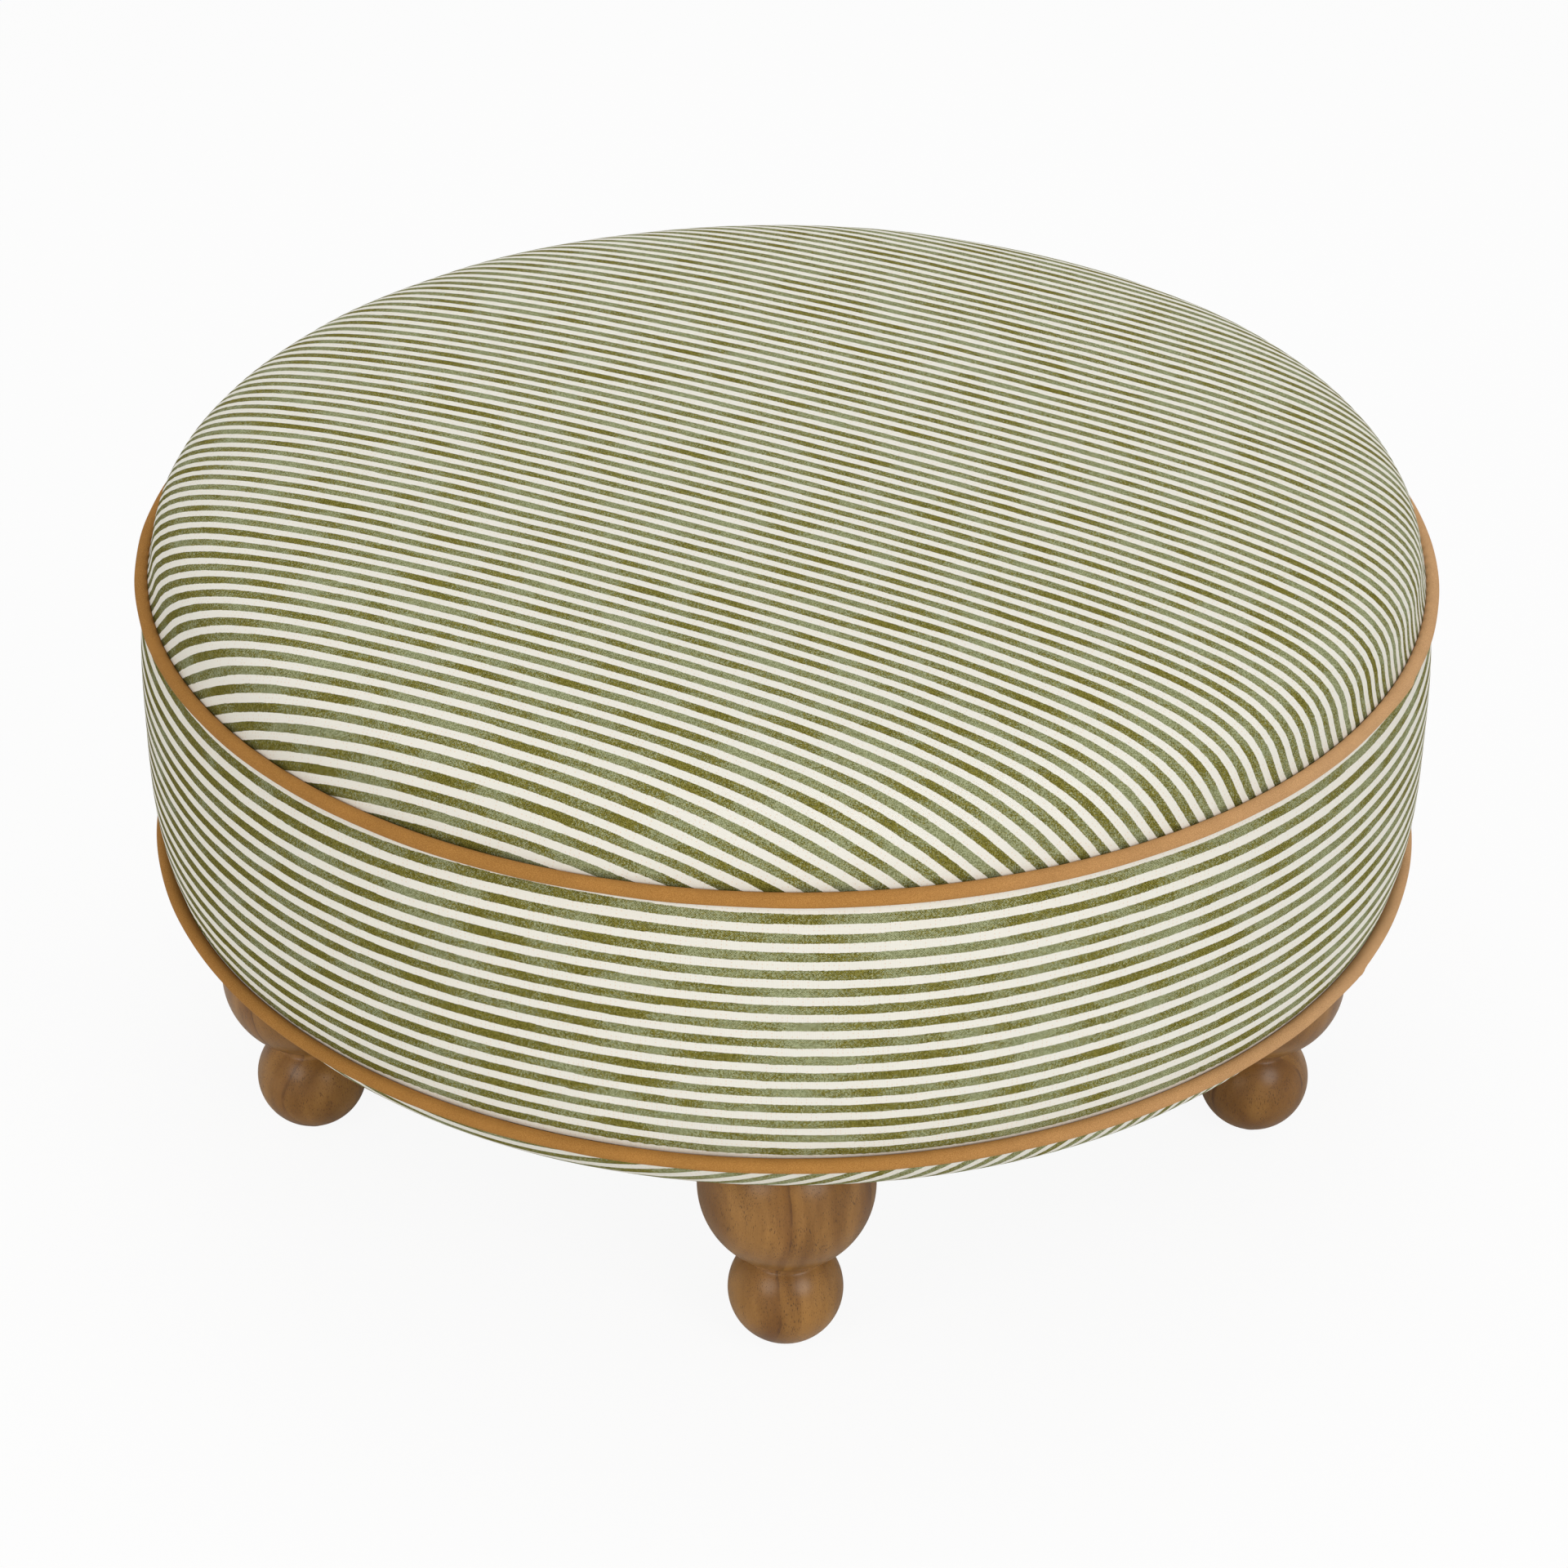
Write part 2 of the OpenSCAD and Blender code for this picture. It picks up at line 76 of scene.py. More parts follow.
# Sizes of the covers, in metres. The seat's wall flares out to the piping, the roll is a little fuller than
# its solid and the dust cover has a hem; the rest is as the solids have it.
CLOTH = 0.0012
LAYER_GAP = 0.0003
SEAT_IN = 0.003
FLARE = 0.016
DOME = 0.015
SHOULDER_OUT = 6.0
SHOULDER_DOWN = 3.5
BAND_BULGE = 0.0095
BAND_SQUARE = 3.5
ROLL_IN = 0.036
ROLL_FULL = 2.8
BORDER_LAP = 0.012
BORDER_IN = FOOT_RING - FOOT_SEAT - BORDER_LAP
DUST_T = 0.0008
HEM = 0.012

# The piping: its velvet and the flange sewn in behind it, how uneven it is, where the ends of each tube
# lap, and how far round from straight up or down the covers start to lie against it
VELVET = 0.001
ALLOWANCE = 0.009
FLANGE_GRIP = 0.003
PIPING_WAVE = 0.00012
UPPER_LAP = radians(-23)
LOWER_LAP = radians(-28.5)
HUG_START = radians(55)
HUG = WELT_R + LAYER_GAP
HIGH_EDGE = HIGH_RING - HUG * sin(HUG_START)
LOW_EDGE = LOW_RING - HUG * sin(HUG_START)
HUG_UP = HUG * cos(HUG_START)
SEAT_R = HIGH_EDGE - SEAT_IN
CROWN = SEAT_TOP - HIGH_Z

# The stripes, in metres and radians, and how each cover's cloth was stretched and drawn while it was sewn.
# PITCH is one ivory stripe and one green, which spreads a little past its half and blends in over its edge.
PITCH = 0.0127
YARN = 0.0008
GREEN_SPREAD = 0.00012
EDGE_BLUR = 0.00022
WANDER, JOG, FRAY = 0.0013, 0.0005, 0.0003
SEAT_TURN = radians(-28.3)
SEAT_SHIFT = -0.0042
SEAT_STRETCH = 1.0072
BACK_PULL = 0.0056
PULL_FROM, PULL_TO = 0.1, 0.34
RIM_FROM, RIM_TO = 0.34, 0.48
RIM_DRAW = 0.006
RIM_LEAN = 0.0041
BAND_SHIFT = -0.0007
BAND_STRETCH = 1.03
BAND_LIFTS = ((radians(-110), radians(18), 0.0045), (radians(-60), radians(12), 0.0018))
SEAM_AT = pi / 2
SEAM_MISS = 0.0008
SEAM_DENT = 0.0009

# How far from its seam the cloth is in shade: wide beside the seat's overhang, narrow at the other seams
SEAT_SHADE_REACH = 0.006
EDGE_SHADE_REACH = 0.0014

# Beside a seam the cloth is held to its outline, and it comes free of it over the next few millimetres
HELD = 0.0005
FREED = 0.004

# The camera: its lens in millimetres, its angles, and its distance and aim in radii of the upper piping
CAMERA_LENS = 105.45
CAMERA_UP = radians(31.98)
CAMERA_TURN = radians(-0.67)
CAMERA_ROLL = radians(0.6)
CAMERA_AWAY = 7.41
AIM_RIGHT = -0.001
AIM_UP = 0.0262

# The strength of the light from all round, the height that the lamps point at, and the floor's radius, with
# the share of white laid over it for the camera
AMBIENT = 0.48
LAMP_AIM = 0.25
FLOOR_R = 9.0
FLOOR_WHITE = 0.92

# Points in a full ring, and the widths between a cover's rings, in metres, beside its seam and away from it
SEGMENTS = 1440
NARROW, WIDE = 0.0007, 0.009

# How tight the cloth is cut before it settles, and how many of its waves round the body are kept
TAUT = 0.02
SMOOTH_WAVES = 18

rng = np.random.default_rng(7)


def smooth_step(low, high, value):
    """0 below low and 1 above high, smooth between them."""
    t = np.clip((value - low) / (high - low), 0, 1)
    return t * t * (3 - 2 * t)


def link(obj):
    bpy.context.scene.collection.objects.link(obj)
    return obj


# Meshes made of rings

def ring_faces(first, n, second, m, turn):
    """Faces between rings of n and m points that start at those vertices. One may have twice the other's."""
    faces = []
    if n == 1 or m == 1:
        tip, start, count = (first, second, m) if n == 1 else (second, first, n)
        flip = (n == 1) != turn
        for i in range(count):
            a, b = start + i, start + (i + 1) % count
            faces.append((tip, b, a) if flip else (tip, a, b))
        return faces
    if n == m:
        for i in range(n):
            j = (i + 1) % n
            faces.append((first + i, first + j, second + j, second + i))
    else:
        swap = n > m
        few, many, count = (second, first, m) if swap else (first, second, n)
        for i in range(count):
            j = (i + 1) % count
            a, b = few + i, few + j
            c, d, e = many + 2 * i, many + 2 * i + 1, many + (2 * i + 2) % (2 * count)
            pair = [(a, b, d, c), (b, e, d)]
            faces += [tuple(reversed(f)) for f in pair] if swap else pair
    return [tuple(reversed(f)) for f in faces] if turn else faces


def mesh_of_rings(name, rings, closed=False, turn=False, flat=None, wrap=0.0):
    """An object whose mesh joins the rings one after another. flat gives each ring's cloth coordinates, the
    first of which starts again after wrap when the cloth is sewn into a loop."""
    starts = np.cumsum([0] + [len(r) for r in rings])
    faces = []
    count = len(rings)
    for k in range(count if closed else count - 1):
        n = (k + 1) % count
        faces += ring_faces(int(starts[k]), len(rings[k]), int(starts[n]), len(rings[n]), turn)
    flat = None if flat is None else np.concatenate(flat)
    return mesh_object(name, np.concatenate(rings), faces, flat, wrap)


def mesh_object(name, points, faces, flat=None, wrap=0.0):
    mesh = bpy.data.meshes.new(name)
    mesh.from_pydata(np.asarray(points, float).tolist(), [], faces)
    mesh.shade_smooth()
    if flat is not None:
        corner = np.zeros(len(mesh.loops), np.int32)
        mesh.loops.foreach_get("vertex_index", corner)
        place = flat[corner]
        if wrap:
            quads = place.reshape(-1, 4, 2)
            sewn = np.ptp(quads[:, :, 0], axis=1) > wrap / 2
            start = sewn[:, None] & (quads[:, :, 0] < wrap / 2)
            quads[start] += [wrap, SEAM_MISS]
        layer = mesh.uv_layers.new(name="cloth")
        layer.uv.foreach_set("vector", place.astype(np.float32).ravel())
    mesh.validate()
    return link(bpy.data.objects.new(name, mesh))


def angles(n):
    return np.arange(n) * 2 * pi / n


def lengths(path):
    return np.concatenate([[0], np.cumsum(np.linalg.norm(np.diff(path, axis=0), axis=1))])


def normals(path):
    """Unit vectors to the left of a path of (radius, height) points, which is outwards here."""
    t = np.gradient(path, axis=0)
    t /= np.linalg.norm(t, axis=1)[:, None]
    return np.stack([-t[:, 1], t[:, 0]], 1)


def stations(length, fine, coarse, both=False):
    """Distances along a path, close together at its end, or at both ends, and wider elsewhere."""
    growth = 1.3
    reach = length / 2 if both else length
    at, step = [0.0], fine
    while at[-1] < reach:
        at.append(at[-1] + step)
        step = min(step * growth, coarse)
    at = np.array(at) * reach / at[-1]
    tail = length - at[::-1]
    return np.concatenate([at[:-1], tail]) if both else tail


def at_stations(path, at):
    """The points of a path at those distances along it."""
    far = lengths(path)
    return np.stack([np.interp(at, far, path[:, 0]), np.interp(at, far, path[:, 1])], 1)


def around(radius, height, n, a=None):
    """A ring of n points; radius and height are numbers or arrays of n."""
    a = angles(n) if a is None else a
    return np.stack([radius * np.cos(a), radius * np.sin(a), height + 0 * a], 1)


def arc(centre, radius, start, end, n):
    """n points of an arc between two angles in degrees."""
    a = np.radians(np.linspace(start, end, n))
    return np.stack([centre[0] + radius * np.cos(a), centre[1] + radius * np.sin(a)], 1)


# Outlines of the covers, as (radius, height) points from the top down

def crown_outline():
    """The seat's outline: points by radius on the flat share of it, and by angle over its shoulder."""
    flat = 0.7
    r = np.linspace(0, flat, 60) * SEAT_R
    a = np.linspace(asin(flat ** (SHOULDER_OUT / 2)), radians(89), 500)[1:]
    r = np.concatenate([r, SEAT_R * np.sin(a) ** (2 / SHOULDER_OUT)])
    q = r / SEAT_R
    shoulder = np.maximum(1 - q ** SHOULDER_OUT, 0) ** (1 / SHOULDER_DOWN)
    return np.stack([r, HIGH_Z + (CROWN - DOME) * shoulder + DOME * (1 - q * q)], 1)


def under_hug(ring, z, above):
    """The few points where a cover lies against the piping and turns in along its flange."""
    reach = degrees(asin((VELVET + LAYER_GAP) / HUG))
    end = ring - WELT_R - ALLOWANCE
    if above:
        return np.concatenate([arc((ring, z), HUG, 90 + degrees(HUG_START), 180 - reach, 4),
                               [[end, z + VELVET + LAYER_GAP]]])
    return np.concatenate([[[end, z - VELVET - LAYER_GAP]],
                           arc((ring, z), HUG, 180 + reach, 270 - degrees(HUG_START), 4)])


def band_outline():
    q = np.linspace(1, -1, 201)[1:-1]
    middle = (HIGH_Z + LOW_Z) / 2
    half = (HIGH_Z - LOW_Z) / 2 - HUG_UP
    edge = HIGH_EDGE + (LOW_EDGE - HIGH_EDGE) * (1 - q) / 2
    return np.stack([edge + BAND_BULGE * (1 - np.abs(q) ** BAND_SQUARE), middle + q * half], 1)


def roll_outline():
    u = np.linspace(0, 1, 120)[1:]
    top = LOW_Z - HUG_UP
    return np.stack([LOW_EDGE - ROLL_IN * u, top - (top - BORDER_Z) * (1 - (1 - u) ** ROLL_FULL)], 1)


# Cloth that settles under pressure, so that the covers aren't perfectly even

def settle(obj, held, frames=20):
    """The points of obj after a cloth simulation with pressure inside and its held vertices fixed."""
    group = obj.vertex_groups.new(name="held")
    group.add([int(i) for i in held], 1.0, "REPLACE")
    cloth = obj.modifiers.new("Cloth", "CLOTH")
    cloth.settings.quality = 6
    cloth.settings.mass = 0.3
    cloth.settings.vertex_group_mass = "held"
    cloth.settings.use_pressure = True
    cloth.settings.uniform_pressure_force = 4
    cloth.settings.shrink_min = TAUT
    cloth.settings.effector_weights.gravity = 0
    cloth.collision_settings.use_collision = False
    scene = bpy.context.scene
    for number in range(1, frames + 1):
        scene.frame_set(number)
    evaluated = obj.evaluated_get(bpy.context.evaluated_depsgraph_get())
    points = np.array([v.co for v in evaluated.data.vertices], float)
    scene.frame_set(1)
    mesh = obj.data
    bpy.data.objects.remove(obj)
    bpy.data.meshes.remove(mesh)
    return points


def smooth_noise(n, waves, size):
    """A periodic line of n numbers from seeded waves, with about that root mean square size."""
    a = angles(n)
    total = np.zeros(n)
    for w in waves:
        total += rng.normal() * np.cos(w * a) + rng.normal() * np.sin(w * a)
    return size * total / sqrt(len(waves))


def finer(ring, n):
    """A periodic ring of values drawn through n points by its own waves."""
    waves = np.fft.rfft(ring)
    full = np.zeros(n // 2 + 1, complex)
    keep = min(len(waves), len(full))
    full[:keep] = waves[:keep]
    return np.fft.irfft(full, n) * n / len(ring)


class Give:
    """How far a cover stands off its plain outline, by distance along the outline and angle round it. size
    is that of its first waves, and cap is the most that it may give."""

    def __init__(self, outline, both_ends, size, cap, simulate, cell=0.014, count=192):
        far = lengths(outline)
        self.at = stations(far[-1], cell, 2 * cell, both=both_ends)
        path = at_stations(outline, self.at)
        side = normals(path)
        self.field = np.array([smooth_noise(count, range(2, 9), size) for _ in path])
        self.blend(3)
        ends = [-1, 0] if both_ends else [-1]
        for k in ends:
            self.field[k] = smooth_noise(count, range(9, 60), size / 3)
        if path[0][0] < 1e-6:
            self.field[0] = self.field[0].mean()
        if simulate:
            self.run(path, side, ends, count)
        waves = np.fft.rfft(self.field, axis=1)
        waves[:, 0] = 0
        waves[1:-1, SMOOTH_WAVES:] = 0
        self.field = np.fft.irfft(waves, count, axis=1)
        self.blend(2)
        self.field = cap * np.tanh(self.field / cap)

    def blend(self, times):
        for _ in range(times):
            self.field[1:-1] = (self.field[:-2] + 2 * self.field[1:-1] + self.field[2:]) / 4

    def run(self, path, side, ends, count):
        """Settles the cover on a coarse mesh whose ends are held, and keeps how far each point moved out.
        Between its inner rings and the full ones lies a ring with half as many points."""
        rings = []
        for k, (r, z) in enumerate(path):
            n = count if r > 0.12 else count // 4
            if r < 1e-6:
                rings.append(np.array([[0, 0, z]]))
                continue
            f = finer(self.field[k], n)
            rings.append(around(r + side[k, 0] * f, z + side[k, 1] * f, n))
            if len(rings) > 1 and len(rings[-1]) > 2 * len(rings[-2]) > 2:
                rings[-1] = around(r, z, n // 2)
        starts = np.cumsum([0] + [len(ring) for ring in rings])
        held = np.concatenate([starts[k % len(rings)] + np.arange(len(rings[k])) for k in ends])
        temp = mesh_of_rings("settling", rings, turn=True)
        points = settle(temp, held)
        for k, ring in enumerate(rings):
            if len(ring) == 1:
                continue
            now = points[starts[k]:starts[k + 1]]
            out = np.hypot(now[:, 0], now[:, 1]) - path[k][0]
            up = now[:, 2] - path[k][1]
            self.field[k] = finer(out * side[k, 0] + up * side[k, 1], count)

    def __call__(self, far, a):
        """Values at the angles a of the ring at that distance along the outline."""
        k = int(np.clip(np.searchsorted(self.at, far) - 1, 0, len(self.at) - 2))
        t = smooth_step(self.at[k], self.at[k + 1], far)
        ring = finer(self.field[k] * (1 - t) + self.field[k + 1] * t, SEGMENTS)
        return np.interp(a, angles(SEGMENTS), ring, period=2 * pi)


TUCK_WAVE = smooth_noise(SEGMENTS, range(260, 460, 7), 1.0)


def tucks(a, away, depth=0.0003, reach=0.007):
    """Small gathers beside the piping, which fade with the distance from it."""
    if away > 3 * reach:
        return 0.0
    return depth * np.exp(-(away / reach) ** 2) * np.interp(a, angles(SEGMENTS), TUCK_WAVE, period=2 * pi)


# The three striped covers

def segments_at(r):
    """How many points a ring of that radius has: fewer towards the middle, and a single one at it."""
    for limit, n in ((0.38, SEGMENTS), (0.2, SEGMENTS // 2), (0.1, SEGMENTS // 4), (0.05, SEGMENTS // 8)):
        if r > limit:
            return n
    return SEGMENTS // 16 if r > 1e-6 else 1


def planar(radius, a, shift=0.0):
    """Cloth coordinates of a ring at that flat distance from the middle: along the stripes and across."""
    flat = radius * SEAT_STRETCH
    return np.stack([flat * np.cos(a - SEAT_TURN), flat * np.sin(a - SEAT_TURN) + shift], 1)


def seat_cloth(radius, a):
    """The seat's cloth coordinates, drawn towards the back and askew at the rim as it was pulled tight."""
    flat = planar(radius, a, SEAT_SHIFT)
    flat[:, 1] += BACK_PULL * smooth_step(PULL_FROM, PULL_TO, radius) * np.maximum(np.sin(a), 0)
    flat[:, 1] -= smooth_step(RIM_FROM, RIM_TO, radius) * (RIM_DRAW + RIM_LEAN * np.sin(a))
    return flat


def band_cloth(down, a):
    """Cloth coordinates of a ring that far below the band's middle, from the seam round to the seam."""
    lift = np.full(len(a), BAND_SHIFT)
    for place, width, rise in BAND_LIFTS:
        lift += rise * np.exp(-(((a - place + pi) % (2 * pi) - pi) / width) ** 2)
    return np.stack([(a - SEAM_AT) % (2 * pi) * HIGH_RING, down / BAND_STRETCH + lift], 1)


def band_angles():
    """The angles of the band's points, from its seam on. Beside it, close ones replace the even ones."""
    close = np.array([0.0004, 0.0009, 0.0016, 0.0026, 0.004]) / HIGH_RING
    even = angles(SEGMENTS)[4:-3]
    return SEAM_AT + np.concatenate([[0], close, even, 2 * pi - close[::-1]])


def shell(name, outline, head, tail, give, flat_of, seams, shade_reach, turns=None, wrap=0.0):
    """A cover of cloth thickness: its outer skin, and the same skin inside. head and tail are the points
    that turn in before and after the outline. flat_of gives a ring's cloth coordinates from its distance
    along the outline, its radius and its angles. seams are the ends of the outline that are sewn, the
    next argument is how far from a seam the cloth gets painted shade as it turns down into the seam, and
    wrap is the length of a cover that is sewn into a loop, whose points lie at the angles turns."""
    far = lengths(outline)[-1]
    at = stations(far, NARROW, WIDE, both=len(head) > 0)
    path = np.concatenate([p for p in (head, at_stations(outline, at), tail) if len(p)])
    along = lengths(path)
    along -= along[len(head)]
    side = normals(path)
    rings, flat, unshaded_by_seam = [], [], []
    for layer in (0, 1):
        for k in range(len(path)) if layer == 0 else range(len(path) - 1, -1, -1):
            r, z = path[k]
            a = angles(segments_at(r)) if turns is None else turns
            away = min(abs(along[k] - s * far) for s in seams)
            push = np.zeros(len(a))
            if -1e-9 <= along[k] <= far + 1e-9 and r > 1e-6:
                push = (give(along[k], a) + tucks(a, away)) * min(1, max(away - HELD, 0) / FREED)
            if wrap:
                off = (a - SEAM_AT + pi) % (2 * pi) - pi
                push -= SEAM_DENT * np.exp(-(off * r / SEAM_DENT) ** 2)
            push -= CLOTH * layer
            rings.append(around(r + side[k, 0] * push, z + side[k, 1] * push, len(a), a))
            flat.append(flat_of(along[k], r, a))
            # Painted shade beside each seam: 0 at the seam, rising to 1 beyond its reach, kept in the mesh's
            # "open" attribute
            unshaded_by_seam += [min(away / shade_reach, 1) if 0 <= along[k] <= far else 0] * len(a)
    cover = mesh_of_rings(name, rings, closed=path[0][0] > 1e-6, turn=True, flat=flat, wrap=wrap)
    cover.data.attributes.new("open", "FLOAT", "POINT").data.foreach_set("value", unshaded_by_seam)
    return cover


def make_seat(give):
    outline = crown_outline()

    # The outline ends in a point of its own just above the piping
    foot = HIGH_Z + HUG_UP + 0.0005
    outline = outline[outline[:, 1] > foot + 0.001]
    outline[:, 0] += SEAT_IN * np.clip(1 - (outline[:, 1] - foot) / FLARE, 0, 1) ** 1.5
    outline = np.concatenate([outline, [[HIGH_EDGE, foot]]])
    tail = under_hug(HIGH_RING, HIGH_Z, True)
    return shell("seat_cover", outline, [], tail, give, lambda far, r, a: seat_cloth(far, a), (1,),
                 SEAT_SHADE_REACH)


def make_band(give):
    outline = band_outline()
    head, tail = under_hug(HIGH_RING, HIGH_Z, False), under_hug(LOW_RING, LOW_Z, True)
    middle = lengths(outline)[-1] / 2
    return shell("band_cover", outline, head, tail, give, lambda far, r, a: band_cloth(far - middle, a),
                 (0, 1), EDGE_SHADE_REACH, band_angles(), 2 * pi * HIGH_RING)


def make_border(give):
    outline = roll_outline()
    head = under_hug(LOW_RING, LOW_Z, False)
    flat_part = np.array([[BORDER_IN + 0.03, BORDER_Z], [BORDER_IN, BORDER_Z]])
    run = lengths(outline)[-1]

    def flat_of(far, r, a):
        return planar(LOW_EDGE - ROLL_IN + run - far if far < run else r, a)

    return shell("border_cover", outline, head, flat_part, give, flat_of, (0,), EDGE_SHADE_REACH)


# Velvet piping with the lapped ends of its tube

def lap_step(theta, at, slant=0.9, rise=0.0009, fade=0.03, pucker=0.0004, spread=0.009, gather=0.0013):
    """How far the tube stands out before its lapped end, which is cut at a slant and puckers the velvet."""
    a = (angles(SEGMENTS) - at + pi) % (2 * pi) - pi
    along = -a * HIGH_RING + slant * WELT_R * sin(theta)
    gathers = pucker * np.exp(-(along / spread) ** 2) * np.cos(along / gather)
    return np.where(along > 0, rise * np.exp(-(np.maximum(along, 0) / fade) ** 2), 0.0) - gathers


def make_piping(name, ring, z, lap):
    """A velvet tube with its flange, and its inside. Its waves and its lap fade out on the inner side."""
    join = asin(VELVET / WELT_R)
    end, grip = ring - WELT_R - ALLOWANCE, ring - WELT_R - FLANGE_GRIP
    wave = smooth_noise(SEGMENTS, range(3, 40), PIPING_WAVE)
    rings = [around(r, z + h, SEGMENTS) for r, h in ((end, 0.0), (end, VELVET), (grip, VELVET))]
    for t in np.linspace(pi - join, -pi + join, 30):
        shown = max(cos(t) + 0.6, 0) / 1.6
        push = WELT_R + (lap_step(t, lap) + wave) * shown
        rings.append(around(ring + push * cos(t), z + push * sin(t), SEGMENTS))
    rings += [around(r, z - VELVET, SEGMENTS) for r in (grip, end)]
    tube = mesh_of_rings(name, rings, closed=True, turn=True)
    core_r = WELT_R - VELVET
    inside = [around(ring + core_r * cos(t), z + core_r * sin(t), SEGMENTS // 4) for t in angles(16)]
    core = mesh_of_rings(name + "_inside", inside, closed=True, turn=True)
    join_objects(tube, core)
    return tube


def join_objects(target, *others):
    with bpy.context.temp_override(active_object=target, selected_editable_objects=[target, *others]):
        bpy.ops.object.join()


# Turned feet

def foot_outline():
    """(radius, height) points of the foot, from the top face down to the sole."""
    low_z = GLIDE + sqrt(FOOT_LOWER ** 2 - FOOT_SOLE ** 2)
    high_z = low_z + sqrt(FOOT_LOWER ** 2 - FOOT_WAIST ** 2) + sqrt(FOOT_UPPER ** 2 - FOOT_WAIST ** 2)
    gap = high_z - low_z
    to_low, to_high = FOOT_LOWER + FOOT_COVE, FOOT_UPPER + FOOT_COVE
    up = (gap ** 2 + to_low ** 2 - to_high ** 2) / (2 * gap)
    cove = (sqrt(to_low ** 2 - up ** 2), low_z + up)
    to_cove_high = degrees(atan2(cove[1] - high_z, cove[0]))
    to_cove_low = degrees(atan2(cove[1] - low_z, cove[0]))
    seat = degrees(atan2(FOOT_TOP - high_z, FOOT_SEAT))
    sole = degrees(atan2(GLIDE - low_z, FOOT_SOLE))
    seat_r = sqrt(FOOT_UPPER ** 2 - (FOOT_TOP - high_z) ** 2)
    return np.concatenate([
        [[BOLT_BORE, FOOT_TOP - BOLT_DEEP], [BOLT_BORE, FOOT_TOP], [seat_r * 0.6, FOOT_TOP]],
        arc((0, high_z), FOOT_UPPER, seat, to_cove_high, 64),
        arc(cove, FOOT_COVE, to_cove_high + 180, to_cove_low + 180, 14)[1:-1],
        arc((0, low_z), FOOT_LOWER, to_cove_low, sole, 56),
        [[NAIL_BORE, GLIDE], [NAIL_BORE, GLIDE + NAIL_DEEP]]])


def make_foot(name, angle, number):
    """A foot about its own axis, stored with its grain's coordinates, then put in its place. Each foot is
    turned from another stretch of the wood."""
    path = foot_outline()
    rings = [around(r, z, 192) for r, z in path]
    rings = [np.array([[0, 0, path[0][1]]])] + rings + [np.array([[0, 0, path[-1][1]]])]
    foot = mesh_of_rings(name, rings, turn=True)
    local = np.array([v.co for v in foot.data.vertices], float)
    turned = turn_z(local, -angle + radians(-90)) if number else local
    stretch = np.array([0.9, 0, 0.31]) * number
    grain = foot.data.attributes.new("grain", "FLOAT_VECTOR", "POINT")
    grain.data.foreach_set("vector", (turned + stretch).astype(np.float32).ravel())
    centre = np.array([FOOT_RING * cos(angle), FOOT_RING * sin(angle), 0])
    foot.data.vertices.foreach_set("co", (local + centre).astype(np.float32).ravel())
    foot.data.update()
    return foot


def turn_z(points, a):
    c, s = cos(a), sin(a)
    x, y, z = points.T
    return np.stack([x * c - y * s, x * s + y * c, z], 1)


# Node trees written as sums

class Num:
    """A number in a node tree, with the usual operators."""

    def __init__(self, tree, socket):
        self.tree, self.socket = tree, socket

    def math(self, operation, *others):
        node = self.tree.nodes.new("ShaderNodeMath")
        node.operation = operation
        self.tree.links.new(self.socket, node.inputs[0])
        for slot, value in zip(node.inputs[1:], others):
            if isinstance(value, Num):
                self.tree.links.new(value.socket, slot)
            else:
                slot.default_value = value
        return Num(self.tree, node.outputs[0])

    def __add__(self, other):
        return self.math("ADD", other)

    def __sub__(self, other):
        return self.math("SUBTRACT", other)

    def __mul__(self, other):
        return self.math("MULTIPLY", other)

    def __truediv__(self, other):
        return self.math("DIVIDE", other)

    def floor(self):
        return self.math("FLOOR")

    def part(self):
        """What is left over a whole number."""
        return self.math("FRACT")

    def odd(self):
        """1 for odd whole numbers and 0 for even ones."""
        return self.math("FLOORED_MODULO", 2.0)

    def ramp(self, low, high):
        """0 below low and 1 above high, smooth between them."""
        node = self.tree.nodes.new("ShaderNodeMapRange")
        node.interpolation_type = "SMOOTHSTEP"
        node.inputs["From Min"].default_value = low
        node.inputs["From Max"].default_value = high
        self.tree.links.new(self.socket, node.inputs["Value"])
        return Num(self.tree, node.outputs["Result"])


